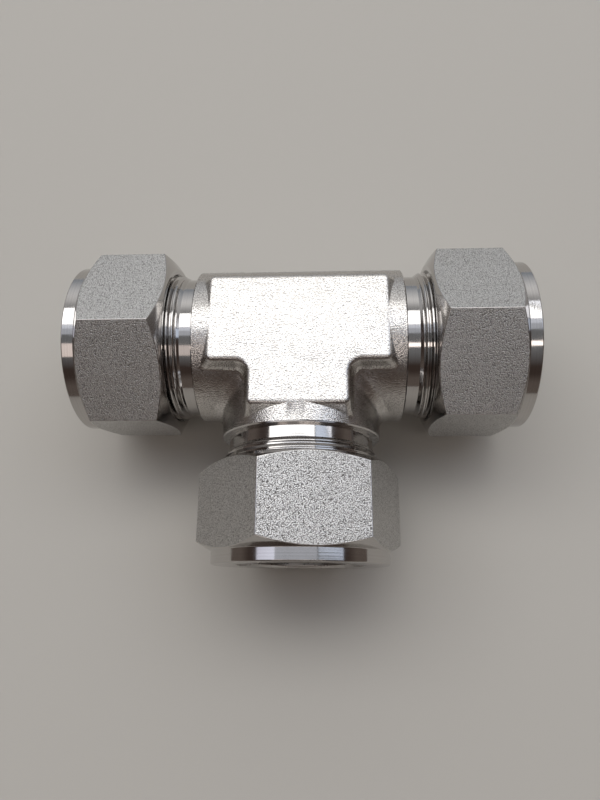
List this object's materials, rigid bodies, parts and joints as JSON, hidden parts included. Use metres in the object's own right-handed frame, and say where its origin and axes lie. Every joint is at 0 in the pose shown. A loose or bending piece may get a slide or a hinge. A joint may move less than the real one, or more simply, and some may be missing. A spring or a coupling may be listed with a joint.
{
  "type": "compression tube tee",
  "caption": "Tube tee with a forged body and a hexagon compression nut with two ferrules on each port.",
  "frame": {"origin": "crossing of the run axis and the branch axis", "axes": "+X along the run, -Y along the branch towards its nut, +Z out of the upper wrench flat"},
  "size_m": [0.0988, 0.0695, 0.044],
  "materials": {
    "forged_stainless": "fine blasted forging with turned necks",
    "bar_stainless": "pebbled satin flats with turned ends",
    "ferrule_stainless": "fine turned"
  },
  "bodies": {
    "tee_body": {"tee_body": "forged_stainless"},
    "ferrules_left": {"front_ferrule_left": "ferrule_stainless", "back_ferrule_left": "ferrule_stainless"},
    "nut_left": {"nut_left": "bar_stainless"},
    "ferrules_right": {"front_ferrule_right": "ferrule_stainless", "back_ferrule_right": "ferrule_stainless"},
    "nut_right": {"nut_right": "bar_stainless"},
    "ferrules_branch": {"front_ferrule_branch": "ferrule_stainless", "back_ferrule_branch": "ferrule_stainless"},
    "nut_branch": {"nut_branch": "bar_stainless"}
  },
  "joints": [
    {"name": "nut_left_travel", "type": "slide", "parent": "tee_body", "child": "ferrules_left", "axis": [-1, 0, 0], "range_m": [0, 0.01017]},
    {"name": "nut_left_turn", "type": "hinge", "parent": "ferrules_left", "child": "nut_left", "pos_m": [-0.0386, 0, 0], "axis": [-1, 0, 0], "range_deg": [0, 2880]},
    {"name": "nut_right_travel", "type": "slide", "parent": "tee_body", "child": "ferrules_right", "axis": [1, 0, 0], "range_m": [0, 0.01017]},
    {"name": "nut_right_turn", "type": "hinge", "parent": "ferrules_right", "child": "nut_right", "pos_m": [0.0386, 0, 0], "axis": [1, 0, 0], "range_deg": [0, 2880]},
    {"name": "nut_branch_travel", "type": "slide", "parent": "tee_body", "child": "ferrules_branch", "axis": [0, -1, 0], "range_m": [0, 0.01017]},
    {"name": "nut_branch_turn", "type": "hinge", "parent": "ferrules_branch", "child": "nut_branch", "pos_m": [0, -0.0386, 0], "axis": [0, -1, 0], "range_deg": [0, 2880]}
  ],
  "couplings": [
    {"joint": "nut_left_travel", "follows": "nut_left_turn", "m_per_rad": 0.00020213},
    {"joint": "nut_right_travel", "follows": "nut_right_turn", "m_per_rad": 0.00020213},
    {"joint": "nut_branch_travel", "follows": "nut_branch_turn", "m_per_rad": 0.00020213}
  ]
}
